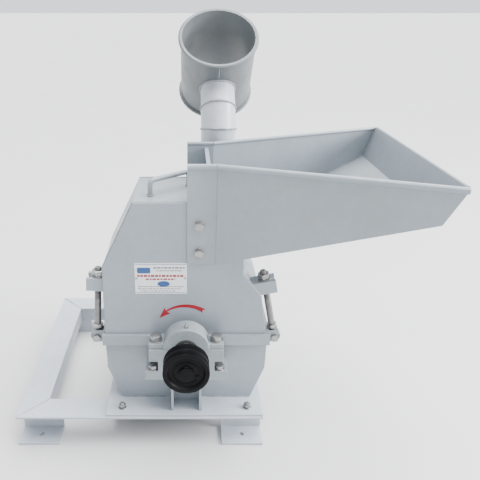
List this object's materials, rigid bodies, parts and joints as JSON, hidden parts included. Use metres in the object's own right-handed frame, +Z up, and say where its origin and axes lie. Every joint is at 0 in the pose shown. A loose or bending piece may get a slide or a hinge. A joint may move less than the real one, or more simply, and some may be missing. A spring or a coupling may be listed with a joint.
{
  "type": "hammer mill",
  "caption": "Belt-driven hammer mill on an angle frame, with a lift-off lid, a side feed hopper, a suction fan and a tilted collector drum.",
  "frame": {"origin": "middle of the machine's footprint box, at floor level", "axes": "+Z up; the pulley end faces -Y and the hopper reaches out to +X"},
  "size_m": [0.832, 0.615, 0.8835],
  "materials": {
    "housing_paint": "satin",
    "frame_paint": "satin",
    "pipe_paint": "satin",
    "bearing_paint": "satin",
    "pulley_black": "semi-gloss",
    "shaft_steel": "turned",
    "bolt_steel": "zinc plated",
    "rod_steel": "plain",
    "rotor_steel": "dull",
    "screen_steel": "perforated",
    "label_white": "printed",
    "arrow_red": "printed"
  },
  "bodies": {
    "base": {"rail_front": "frame_paint", "rail_right": "frame_paint", "rail_rear": "frame_paint", "rail_left": "frame_paint", "rail_middle": "frame_paint", "foot_front_left": "frame_paint", "foot_front_right": "frame_paint", "foot_rear_left": "frame_paint", "foot_rear_right": "frame_paint", "base_plate": "frame_paint", "lower_front_plate": "housing_paint", "lower_rear_plate": "housing_paint", "lower_left_sheet": "housing_paint", "lower_right_sheet": "housing_paint", "screen": "screen_steel", "front_bearing_base": "bearing_paint", "front_bearing_cap": "bearing_paint", "front_cap_bolt_left": "bolt_steel", "front_cap_bolt_right": "bolt_steel", "rear_bearing_base": "bearing_paint", "rear_bearing_cap": "bearing_paint", "rear_cap_bolt_right": "bolt_steel", "rear_cap_bolt_left": "bolt_steel", "front_pedestal": "housing_paint", "rear_pedestal": "housing_paint", "suction_duct": "housing_paint", "fan_housing": "housing_paint", "discharge_pipe": "pipe_paint", "collector_drum": "pipe_paint"},
    "rotor": {"shaft": "shaft_steel", "pulley": "pulley_black", "rotor_cage": "rotor_steel", "fan_impeller": "rotor_steel"},
    "lid": {"upper_front_plate": "housing_paint", "upper_rear_plate": "housing_paint", "upper_left_sheet": "housing_paint", "upper_right_sheet": "housing_paint", "lifting_handle": "housing_paint", "hopper_front_sheet": "housing_paint", "hopper_rear_sheet": "housing_paint", "hopper_floor": "housing_paint", "hopper_inner_sheet": "housing_paint", "hopper_bolt_1": "bolt_steel", "hopper_bolt_2": "bolt_steel"},
    "hammer_1": {"hammer_1": "rotor_steel"},
    "hammer_2": {"hammer_2": "rotor_steel"},
    "hammer_3": {"hammer_3": "rotor_steel"},
    "hammer_4": {"hammer_4": "rotor_steel"},
    "hammer_5": {"hammer_5": "rotor_steel"},
    "hammer_6": {"hammer_6": "rotor_steel"},
    "hammer_7": {"hammer_7": "rotor_steel"},
    "hammer_8": {"hammer_8": "rotor_steel"},
    "swing_left": {"swing_bolt_left": "rod_steel", "nut_left": "bolt_steel"},
    "swing_right": {"swing_bolt_right": "rod_steel", "nut_right": "bolt_steel"}
  },
  "joints": [
    {"name": "rotor_spin", "type": "hinge", "parent": "base", "child": "rotor", "pos_m": [-0.045, -0.07824, 0.253], "axis": [0, -1, 0], "continuous": true},
    {"name": "hammer_1_swing", "type": "hinge", "parent": "rotor", "child": "hammer_1", "pos_m": [0.01157, -0.12524, 0.30957], "axis": [0, -1, 0], "continuous": true},
    {"name": "hammer_2_swing", "type": "hinge", "parent": "rotor", "child": "hammer_2", "pos_m": [0.01157, -0.05924, 0.30957], "axis": [0, -1, 0], "continuous": true},
    {"name": "hammer_3_swing", "type": "hinge", "parent": "rotor", "child": "hammer_3", "pos_m": [-0.10157, -0.09724, 0.30957], "axis": [0, -1, 0], "continuous": true},
    {"name": "hammer_4_swing", "type": "hinge", "parent": "rotor", "child": "hammer_4", "pos_m": [-0.10157, -0.03124, 0.30957], "axis": [0, -1, 0], "continuous": true},
    {"name": "hammer_5_swing", "type": "hinge", "parent": "rotor", "child": "hammer_5", "pos_m": [-0.10157, -0.12524, 0.19643], "axis": [0, -1, 0], "continuous": true},
    {"name": "hammer_6_swing", "type": "hinge", "parent": "rotor", "child": "hammer_6", "pos_m": [-0.10157, -0.05924, 0.19643], "axis": [0, -1, 0], "continuous": true},
    {"name": "hammer_7_swing", "type": "hinge", "parent": "rotor", "child": "hammer_7", "pos_m": [0.01157, -0.09724, 0.19643], "axis": [0, -1, 0], "continuous": true},
    {"name": "hammer_8_swing", "type": "hinge", "parent": "rotor", "child": "hammer_8", "pos_m": [0.01157, -0.03124, 0.19643], "axis": [0, -1, 0], "continuous": true},
    {"name": "lid_lift", "type": "slide", "parent": "base", "child": "lid", "axis": [0, 0, 1], "range_m": [0, 0.16]},
    {"name": "swing_left_pivot", "type": "hinge", "parent": "base", "child": "swing_left", "pos_m": [-0.237, -0.14125, 0.237], "axis": [0, -1, 0], "range_deg": [0, 170]},
    {"name": "swing_right_pivot", "type": "hinge", "parent": "base", "child": "swing_right", "pos_m": [0.144, -0.14125, 0.237], "axis": [0, 1, 0], "range_deg": [0, 170]}
  ],
  "couplings": [
    {"joint": "swing_left_pivot", "follows": "lid_lift", "rad_per_m": 18.542},
    {"joint": "swing_right_pivot", "follows": "lid_lift", "rad_per_m": 18.542}
  ]
}
